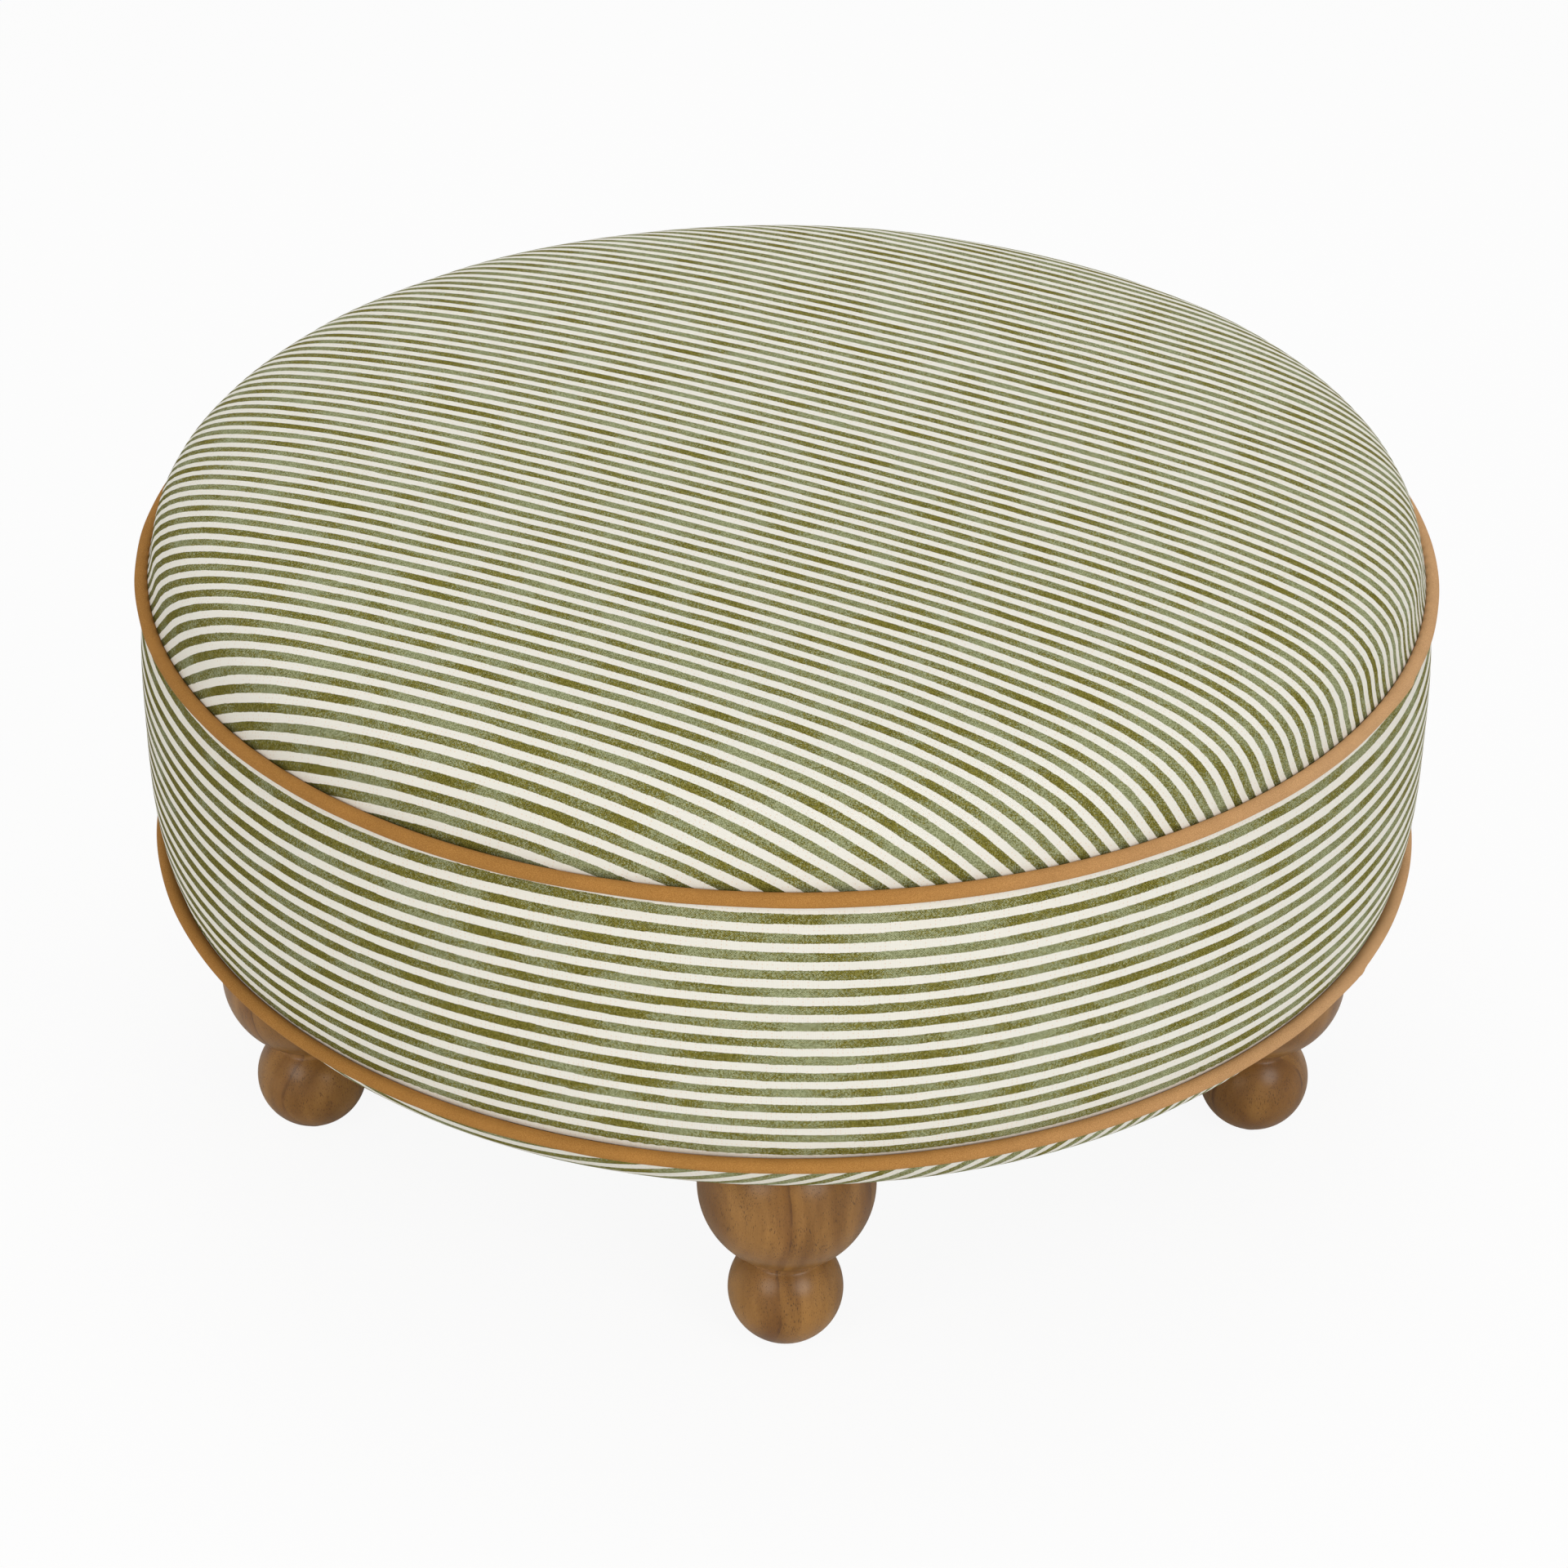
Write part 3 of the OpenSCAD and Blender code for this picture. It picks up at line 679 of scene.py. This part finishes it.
class Tree:
    """A material's node tree with short names for the nodes used here."""

    def __init__(self, name):
        self.material = bpy.data.materials.new(name)
        self.material.use_nodes = True
        self.tree = self.material.node_tree
        self.shader = self.tree.nodes["Principled BSDF"]

    def link(self, a, b):
        self.tree.links.new(a.socket if isinstance(a, Num) else a, b)

    def put(self, socket, value):
        if isinstance(value, (Num, bpy.types.NodeSocket)):
            self.link(value, socket)
        else:
            socket.default_value = value

    def uv(self):
        """The two cloth coordinates, in metres: along the stripes and across them."""
        node = self.tree.nodes.new("ShaderNodeUVMap")
        node.uv_map = "cloth"
        return self.split(node.outputs["UV"])[:2]

    def place(self):
        """The point in the object's own space, in metres."""
        node = self.tree.nodes.new("ShaderNodeTexCoord")
        return self.split(node.outputs["Object"])

    def attribute(self, name):
        """The three numbers that the mesh stores under that name at each point."""
        node = self.tree.nodes.new("ShaderNodeAttribute")
        node.attribute_name = name
        return self.split(node.outputs["Vector"])

    def value(self, name):
        """The one number that the mesh stores under that name at each point."""
        node = self.tree.nodes.new("ShaderNodeAttribute")
        node.attribute_name = name
        return Num(self.tree, node.outputs["Fac"])

    def split(self, socket):
        node = self.tree.nodes.new("ShaderNodeSeparateXYZ")
        self.tree.links.new(socket, node.inputs[0])
        return [Num(self.tree, s) for s in node.outputs]

    def join(self, x, y=0.0, z=0.0):
        node = self.tree.nodes.new("ShaderNodeCombineXYZ")
        for slot, value in zip(node.inputs, (x, y, z)):
            self.put(slot, value)
        return node.outputs[0]

    def noise(self, x, y=0.0, z=0.0, detail=2.0, rough=0.5):
        node = self.tree.nodes.new("ShaderNodeTexNoise")
        node.inputs["Scale"].default_value = 1.0
        node.inputs["Detail"].default_value = detail
        node.inputs["Roughness"].default_value = rough
        self.link(self.join(x, y, z), node.inputs["Vector"])
        return Num(self.tree, node.outputs["Fac"])

    def chance(self, x, y=0.0, z=0.0):
        """A number from 0 to 1 for each whole x, y and z."""
        node = self.tree.nodes.new("ShaderNodeTexWhiteNoise")
        node.noise_dimensions = "3D"
        self.link(self.join(x, y, z), node.inputs["Vector"])
        return Num(self.tree, node.outputs["Value"])

    def cells(self, x, y, z):
        """Distance to the nearest of scattered points, one to each unit cell."""
        node = self.tree.nodes.new("ShaderNodeTexVoronoi")
        node.inputs["Scale"].default_value = 1.0
        self.link(self.join(x, y, z), node.inputs["Vector"])
        return Num(self.tree, node.outputs["Distance"])

    def mix(self, share, a, b):
        """Colour a where share is 0 and colour b where it is 1."""
        node = self.tree.nodes.new("ShaderNodeMix")
        node.data_type = "RGBA"
        self.put(node.inputs[0], share)
        for slot, value in ((node.inputs[6], a), (node.inputs[7], b)):
            self.put(slot, paint(value) if isinstance(value, tuple) else value)
        return node.outputs[2]

    def shade(self, colour, factor):
        """The colour with its brightness multiplied by factor."""
        node = self.tree.nodes.new("ShaderNodeVectorMath")
        node.operation = "SCALE"
        self.link(colour, node.inputs[0])
        self.put(node.inputs["Scale"], factor)
        return node.outputs[0]

    def finish(self, colour, roughness, height=None, relief=0.0002, **sockets):
        """Sets the shader's own sockets; height is in parts of relief, which is in metres."""
        self.put(self.shader.inputs["Base Color"], paint(colour) if isinstance(colour, tuple) else colour)
        self.put(self.shader.inputs["Roughness"], roughness)
        for name, value in sockets.items():
            self.shader.inputs[name.replace("_", " ")].default_value = value
        if height is not None:
            bump = self.tree.nodes.new("ShaderNodeBump")
            bump.inputs["Distance"].default_value = relief
            self.link(height, bump.inputs["Height"])
            self.link(bump.outputs["Normal"], self.shader.inputs["Normal"])
        return self.material


def linear(value):
    value /= 255
    return value / 12.92 if value <= 0.04045 else ((value + 0.055) / 1.055) ** 2.4


def paint(rgb):
    """A colour written as it looks on a screen, from 0 to 255, for a shader."""
    return (*[linear(c) for c in rgb], 1.0)


# Materials. A last number in a noise or a chance picks a pattern of its own.

# The canvas: its green threads in shade and in light, in olive patches and in sage ones, and its pale ones
OLIVE_DARK = (76, 71, 9)
OLIVE_LIGHT = (144, 137, 63)
SAGE_DARK = (108, 112, 69)
SAGE_LIGHT = (178, 183, 144)
IVORY = (241, 238, 227)
FLECK = (226, 190, 150)


def striped_canvas():
    t = Tree("striped_canvas")
    along, across = t.uv()
    x, _, z = t.place()
    seam_unshaded = t.value("open")
    half = PITCH / 2
    step = across / half
    edge = (step + 0.5).floor()
    off = (step - edge) * half
    thread, pick = (along / YARN).floor(), (across / YARN).floor()

    # Each edge wanders, jumps a little from one stretch of the stripe to the next, and frays by the thread
    wander = (t.noise(along / 0.03, edge * 7.3, detail=3.0) - 0.5) * WANDER
    brush = (along / 0.055 + t.chance(edge)).floor()
    jog = (t.chance(brush, edge, 3.0) - 0.5) * JOG
    fray = (t.chance(thread, edge, 5.0) - 0.5) * FRAY
    side = edge.odd() * -2.0 + 1.0
    green = ((off + wander + jog + fray) * side + GREEN_SPREAD).ramp(-EDGE_BLUR, EDGE_BLUR)

    # tone goes from sage to olive in patches along each stripe, and light from threads in painted shade to
    # ones with painted light. From the shoulder down the left side is given painted shade and its tone is
    # pushed towards olive.
    stripe = (edge / 2.0).floor()
    deep = (x * -1.0).ramp(0.0, 0.46) * (z * -1.0).ramp(-0.485, -0.44)
    dye = t.noise(along / 0.02, across / 0.006, 9.0, detail=3.0) - 0.5
    tone = (t.noise(along / 0.05, stripe * 13.7, 2.0, detail=1.5) - 0.5) * 3.0 + dye * 1.4 + 0.47
    grain = t.noise(along / 0.0011, across / 0.0008, 12.0, detail=1.0)
    tone = tone + deep * 0.4 + (grain - 0.5) * 1.6 + (t.chance(thread, pick, 1.0) - 0.5) * 0.9
    tone = tone.ramp(0.1, 0.9)
    over = (thread + pick).odd()
    light = over * 0.35 + t.noise(along / 0.0009, across / 0.0007, 5.0, detail=1.0) * 1.2
    light = (light + t.chance(thread, pick, 4.0) * 0.6).ramp(0.55, 1.55)
    leaf = t.mix(tone, t.mix(light, SAGE_DARK, SAGE_LIGHT), t.mix(light, OLIVE_DARK, OLIVE_LIGHT))
    # Painted shade on the left side from the shoulder down
    leaf = t.shade(leaf, deep * -0.2 + 1.0)

    # Tan flecks on some of every fourth thread and third pick of the ivory
    fourth, third = thread / 4.0, pick / 3.0
    speck = t.chance(fourth.floor(), third.floor(), 6.0).ramp(0.45, 0.6)
    first = (fourth.part() * -1.0 + 0.2).ramp(0.0, 0.01) * (third.part() * -1.0 + 0.2).ramp(0.0, 0.01)
    pale = t.mix(speck * first * 0.4, IVORY, FLECK)
    pale = t.shade(pale, t.noise(along / 0.05, across / 0.05, 4.0) * 0.04 + 0.98)

    # Shade where the cloth turns down into its seam
    pale = t.shade(pale, seam_unshaded.ramp(-0.1, 0.4) * 0.16 + 0.84)
    leaf = t.shade(leaf, seam_unshaded.ramp(-0.1, 1.0) * 0.5 + 0.5)

    # The crown of each thread: the bump's height, which also gives painted light on the threads' tops and
    # painted shade between them
    crown = (along * (pi / YARN)).math("COSINE") * (across * (pi / YARN)).math("COSINE")
    crown = crown.math("ABSOLUTE").math("POWER", 0.6)
    colour = t.shade(t.mix(green, pale, leaf), crown * 0.08 + 0.95)
    return t.finish(colour, 0.92, crown, 0.00012, Specular_IOR_Level=0.1)


def tan_velvet():
    t = Tree("tan_velvet")
    x, y, z = t.place()
    pile = 0.0005
    nap = t.noise(x / pile, y / pile, z / pile, detail=2.0, rough=0.6)
    brushed = t.noise(x / 0.03, y / 0.03, z / 0.02, detail=2.0)
    soft = nap.ramp(0.35, 0.68)

    # The pile lies along the tube: paler towards the right with a painted sheen, where it is seen against
    # the nap, and given painted shade towards the left
    against = t.mix(soft, (193, 149, 104), (222, 177, 130))
    colour = t.mix(x.ramp(0.0, 0.45), t.mix(soft, (166, 115, 57), (196, 143, 76)), against)
    # Painted shade on the left side
    colour = t.shade(colour, x.ramp(-0.35, 0.05) * 0.12 + 0.88)
    colour = t.shade(colour, brushed * 0.24 + 0.87)
    return t.finish(colour, 0.85, nap, 0.0003, Specular_IOR_Level=0.08, Sheen_Weight=0.08,
                    Sheen_Roughness=0.35, Sheen_Tint=paint((236, 190, 140)))


def stained_wood():
    t = Tree("stained_wood")
    x, y, z = t.attribute("grain")
    warp = (t.noise(x / 0.05, y / 0.05, z / 0.12, detail=2.0) - 0.5) * 0.024
    across = x * 0.94 + y * 0.34 + warp
    ring = across / 0.06 + 0.273
    growth = ring.part()

    # Figure, then the growth rings with a dark line in places, then the grain
    broad = t.noise(across / 0.016, y / 0.06, z / 0.1, 3.0)
    fine = t.noise(x / 0.0009, y / 0.0009, z / 0.012, detail=3.0, rough=0.6)
    cloud = t.noise(x / 0.03, y / 0.03, z / 0.04, 1.0)
    colour = t.mix(broad.ramp(0.25, 0.75), (120, 80, 34), (166, 120, 62))
    colour = t.mix(growth.ramp(0.6, 1.0) * 0.25, colour, (112, 68, 32))
    line = growth.ramp(0.95, 0.985) * (growth * -1.0 + 1.0).ramp(0.0, 0.008)
    seen = t.noise(x / 0.02, y / 0.02, z / 0.02, 7.0).ramp(0.35, 0.55)
    colour = t.mix(line * seen * 0.45, colour, (66, 38, 20))
    colour = t.shade(colour, fine * 0.34 + cloud * 0.24 + 0.72)

    # Open pores, and finer ones between them
    few = t.noise(x / 0.012, y / 0.012, z / 0.02)
    pores = t.cells(x / 0.0011, y / 0.0011, z / 0.0055)
    small = t.cells(x / 0.0007 + 31.0, y / 0.0007, z / 0.003)
    open_pore = (pores * -1.0 + few * 0.4 + 0.06).ramp(0.0, 0.1)
    fine_pore = (small * -1.0 + few * 0.4 + 0.12).ramp(0.0, 0.12)
    colour = t.mix(open_pore * 0.62, colour, (58, 34, 16))
    colour = t.mix(fine_pore * 0.36, colour, (70, 42, 20))
    height = fine * 0.1 - open_pore
    return t.finish(colour, 0.32, height, 0.00006, Specular_IOR_Level=0.35)


def foam():
    t = Tree("foam")
    x, y, z = t.place()
    cell = 0.0012
    cells = t.cells(x / cell, y / cell, z / cell)
    return t.finish(t.mix(cells, (206, 190, 150), (240, 228, 190)), 0.95, cells, 0.0004)


def wadding():
    t = Tree("wadding")
    x, y, z = t.place()
    fibre = t.noise(x / 0.0008, y / 0.006, z / 0.003, detail=4.0)
    return t.finish(t.mix(fibre, (222, 222, 218), (248, 248, 245)), 0.95, fibre, 0.0005)


def plywood():
    t = Tree("plywood")
    x, y, z = t.place()
    veneer = 0.0026
    ply = (z / veneer).floor()
    grain = t.noise(x / 0.004, y / 0.08, ply * 3.1, detail=4.0)
    colour = t.mix(grain.ramp(0.3, 0.7), (188, 150, 104), (222, 190, 144))
    colour = t.shade(colour, ply.odd() * 0.14 + 0.86)
    return t.finish(colour, 0.65, grain, 0.0002)


def beech():
    t = Tree("beech")
    x, y, z = t.place()
    grain = t.noise(x / 0.003, y / 0.003, z / 0.06, detail=3.0)
    fleck = t.noise(x / 0.0015, y / 0.0015, z / 0.005).ramp(0.6, 0.7)
    colour = t.mix(grain.ramp(0.3, 0.7), (190, 146, 104), (220, 180, 138))
    return t.finish(t.mix(fleck * 0.4, colour, (150, 104, 70)), 0.55, grain, 0.00015)


def hardboard():
    t = Tree("hardboard")
    x, y, z = t.place()
    size = 0.0015
    fibre = t.noise(x / size, y / size, z / size, detail=4.0)
    return t.finish(t.mix(fibre.ramp(0.35, 0.65), (92, 64, 40), (128, 94, 62)), 0.6, fibre, 0.0001)


def jute():
    t = Tree("jute")
    x, y, z = t.place()
    yarn, fluff = 0.0022, 0.0012
    weave = ((x * (pi / yarn)).math("SINE") * (y * (pi / yarn)).math("SINE")).math("ABSOLUTE")
    hair = t.noise(x / fluff, y / fluff, z / fluff, detail=3.0)
    colour = t.mix(hair, (138, 108, 68), (190, 160, 112))
    # Painted shade between the yarns and painted light on their tops, from the weave's height
    return t.finish(t.shade(colour, weave * 0.3 + 0.75), 0.9, weave, 0.0006)


def cambric():
    t = Tree("cambric")
    x, y, z = t.place()
    dots = t.cells(x / 0.0018, y / 0.0018, z / 0.01)
    fibre = t.noise(x / 0.0012, y / 0.004, z, detail=3.0)
    colour = t.mix(fibre, (26, 26, 27), (44, 44, 46))
    return t.finish(t.shade(colour, dots * 0.4 + 0.7), 0.85, dots, 0.0002)


def zinc_steel():
    t = Tree("zinc_steel")
    x, y, z = t.place()
    size = 0.004
    cloud = t.noise(x / size, y / size, z / size, detail=3.0)
    colour = t.mix(cloud, (160, 164, 170), (200, 203, 206))
    return t.finish(colour, cloud * 0.2 + 0.28, cloud, 0.00002, Metallic=1.0)


def nylon():
    t = Tree("nylon")
    x, y, z = t.place()
    size = 0.0006
    grit = t.noise(x / size, y / size, z / size, detail=3.0)
    return t.finish(t.mix(grit, (40, 38, 36), (62, 58, 55)), 0.55, grit, 0.0001)


MATERIALS = {m.__name__: m() for m in (striped_canvas, tan_velvet, stained_wood, foam, wadding, plywood,
                                       beech, hardboard, jute, cambric, zinc_steel, nylon)}


def dress(obj, slot, *replaced):
    """Gives a new piece its material and its body, and hides the solids that it stands for."""
    obj.data.materials.clear()
    obj.data.materials.append(MATERIALS[slot])
    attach(obj, "root")
    if replaced:
        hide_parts(*replaced)
    return obj


# The dust cover: black cloth stretched under the frame, with its edge turned under and stapled

def make_dust_cover(n=96, inner=0.02, fall=0.0012, wave=0.0005, fold=0.0007):
    lo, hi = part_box("dust_cover")
    radius = hi.x
    under, over = lo.z, lo.z + DUST_T
    sag = smooth_noise(n, range(2, 7), wave)
    rings = [np.array([[0, 0, under - fall]])]
    for r in np.linspace(inner, radius - HEM, 26):
        share = r / radius
        rings.append(around(r, under - fall * (1 - share ** 2) + sag * share * (1 - share), n))
    edge = ((radius - HEM, under - fold), (radius - 0.0006, under - fold), (radius, under - 0.0003),
            (radius - 0.0004, over))
    rings += [around(r, z, n) for r, z in edge]
    rings += [around(r, over, n) for r in np.linspace(radius - HEM, inner, 8)]
    rings.append(np.array([[0, 0, over - 0.001]]))
    return mesh_of_rings("dust_sheet", rings)


def staple(centre, angle):
    """Points and faces of one staple's crown, a small flat bar whose lower face is smaller all round."""
    long, wide, deep = 0.010, 0.0012, 0.0006
    outline = [(-long / 2, -wide / 2), (long / 2, -wide / 2), (long / 2, wide / 2), (-long / 2, wide / 2)]
    layers = ((0.0, 1.0, 1.0), (-deep, 1.0, 1.0), (-deep * 1.3, 0.96, 0.8))
    points = [[x * in_x, y * in_y, height] for height, in_x, in_y in layers for x, y in outline]
    points = turn_z(np.array(points), angle) + centre
    faces = [(0, 1, 2, 3), (11, 10, 9, 8)]
    for k in (0, 4):
        for i in range(4):
            j = (i + 1) % 4
            faces.append((k + i, k + 4 + i, k + 4 + j, k + j))
    return points, faces


def make_staples(count=54, inset=0.005):
    """Staples round the hem, not quite evenly set."""
    lo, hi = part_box("dust_cover")
    points, faces = [], []
    for i in range(count):
        a = 2 * pi * (i + 0.3 * rng.random()) / count
        r = hi.x - inset + 0.001 * rng.random()
        askew = 0.25 * (rng.random() - 0.5)
        p, f = staple(np.array([r * cos(a), r * sin(a), lo.z - DUST_T]), a + pi / 2 + askew)
        faces += [tuple(v + 12 * i for v in face) for face in f]
        points.append(p)
    return mesh_object("dust_staples", np.concatenate(points), faces)


# The stage

def make_floor():
    """A pale floor that takes the shadow, just under the feet."""
    floor = mesh_of_rings("floor", [np.array([[0, 0, 0]]), around(FLOOR_R, 0.0, 64)])
    t = Tree("floor")
    t.finish((240, 240, 240), 0.9, Specular_IOR_Level=0.1)
    tree = t.tree
    path = tree.nodes.new("ShaderNodeLightPath")
    glow = tree.nodes.new("ShaderNodeEmission")
    glow.inputs["Strength"].default_value = 1.0
    mixed = tree.nodes.new("ShaderNodeMixShader")
    share = Num(tree, path.outputs["Is Camera Ray"]) * FLOOR_WHITE
    tree.links.new(share.socket, mixed.inputs[0])
    tree.links.new(t.shader.outputs[0], mixed.inputs[1])
    tree.links.new(glow.outputs[0], mixed.inputs[2])
    tree.links.new(mixed.outputs[0], tree.nodes["Material Output"].inputs["Surface"])
    floor.data.materials.append(t.material)
    floor.location.z = -0.0002


def make_world():
    """Soft light from all round, with plain white behind for the camera."""
    world = bpy.data.worlds.new("studio")
    bpy.context.scene.world = world
    world.use_nodes = True
    tree = world.node_tree
    soft = tree.nodes["Background"]
    soft.inputs["Color"].default_value = (1.0, 0.995, 0.985, 1)
    soft.inputs["Strength"].default_value = AMBIENT
    white = tree.nodes.new("ShaderNodeBackground")
    white.inputs["Color"].default_value = (1, 1, 1, 1)
    path = tree.nodes.new("ShaderNodeLightPath")
    seen = Num(tree, path.outputs["Is Camera Ray"])
    mixed = tree.nodes.new("ShaderNodeMixShader")
    tree.links.new(seen.socket, mixed.inputs[0])
    tree.links.new(soft.outputs[0], mixed.inputs[1])
    tree.links.new(white.outputs[0], mixed.inputs[2])
    tree.links.new(mixed.outputs[0], tree.nodes["World Output"].inputs["Surface"])


def make_lamp(name, place, size, power, colour=(1, 1, 1)):
    lamp = bpy.data.lights.new(name, "AREA")
    lamp.shape = "DISK"
    lamp.size = size
    lamp.energy = power
    lamp.color = colour
    obj = link(bpy.data.objects.new(name, lamp))
    obj.location = place
    obj.rotation_mode = "QUATERNION"
    obj.rotation_quaternion = (Vector((0, 0, LAMP_AIM)) - Vector(place)).to_track_quat("-Z", "Y")


def make_camera():
    """A camera turned and raised about the middle of the lower piping."""
    data = bpy.data.cameras.new("camera")
    data.lens = CAMERA_LENS
    data.sensor_width = 36.0
    obj = link(bpy.data.objects.new("camera", data))
    middle = Vector((0, 0, LOW_Z))
    back = Vector((sin(CAMERA_TURN) * cos(CAMERA_UP), -cos(CAMERA_TURN) * cos(CAMERA_UP), sin(CAMERA_UP)))
    aim = middle + HIGH_RING * Vector((AIM_RIGHT, 0, AIM_UP))
    obj.location = middle + HIGH_RING * CAMERA_AWAY * back
    look = (aim - obj.location).normalized()
    right = look.cross(Vector((0, 0, 1))).normalized()
    up = right.cross(look)
    tilted = right * cos(CAMERA_ROLL) + up * sin(CAMERA_ROLL)
    over = tilted.cross(look)
    turn = np.array([tilted, over, -look]).T
    obj.rotation_mode = "QUATERNION"
    obj.rotation_quaternion = Matrix(turn.tolist()).to_quaternion()
    data.clip_end = 100
    bpy.context.scene.camera = obj


bpy.context.scene.view_settings.view_transform = "Standard"
make_camera()
make_world()
make_lamp("right", (2.2, -3.0, 1.9), size=2.0, power=46)
make_lamp("left", (-2.2, -3.0, 1.9), size=2.0, power=38, colour=(1.0, 0.975, 0.93))
make_lamp("above", (0.1, 1.0, 3.0), size=2.4, power=29)
make_floor()

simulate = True
seat_give = Give(crown_outline(), False, size=0.0005, cap=0.0006, simulate=simulate)
band_give = Give(band_outline(), True, size=0.0005, cap=0.001, simulate=simulate)
roll_give = Give(roll_outline(), True, size=0.0003, cap=0.0006, simulate=False)

seat = dress(make_seat(seat_give), "striped_canvas", "top_cover", "seat_wadding")
band = dress(make_band(band_give), "striped_canvas", "side_band")
border = dress(make_border(roll_give), "striped_canvas", "bottom_border")

dress(make_piping("upper_piping", HIGH_RING, HIGH_Z, UPPER_LAP), "tan_velvet", "top_welt")
dress(make_piping("lower_piping", LOW_RING, LOW_Z, LOWER_LAP), "tan_velvet", "bottom_welt")

FEET = ("front_foot", "right_foot", "rear_right_foot", "rear_left_foot", "left_foot")
for number, node in enumerate(FEET):
    foot = make_foot(node + "_turned", radians(-90 + 360 / len(FEET) * number), number)
    dress(foot, "stained_wood", node)

dust = dress(make_dust_cover(), "cambric", "dust_cover")
staples = dress(make_staples(), "zinc_steel")

SLOT_OF = {p["node"]: p["material_slot"] for p in frame["record"]["subparts"]}
for name, obj in frame["nodes"].items():
    if not obj.hide_render:
        obj.data.materials.clear()
        obj.data.materials.append(MATERIALS[SLOT_OF[name]])
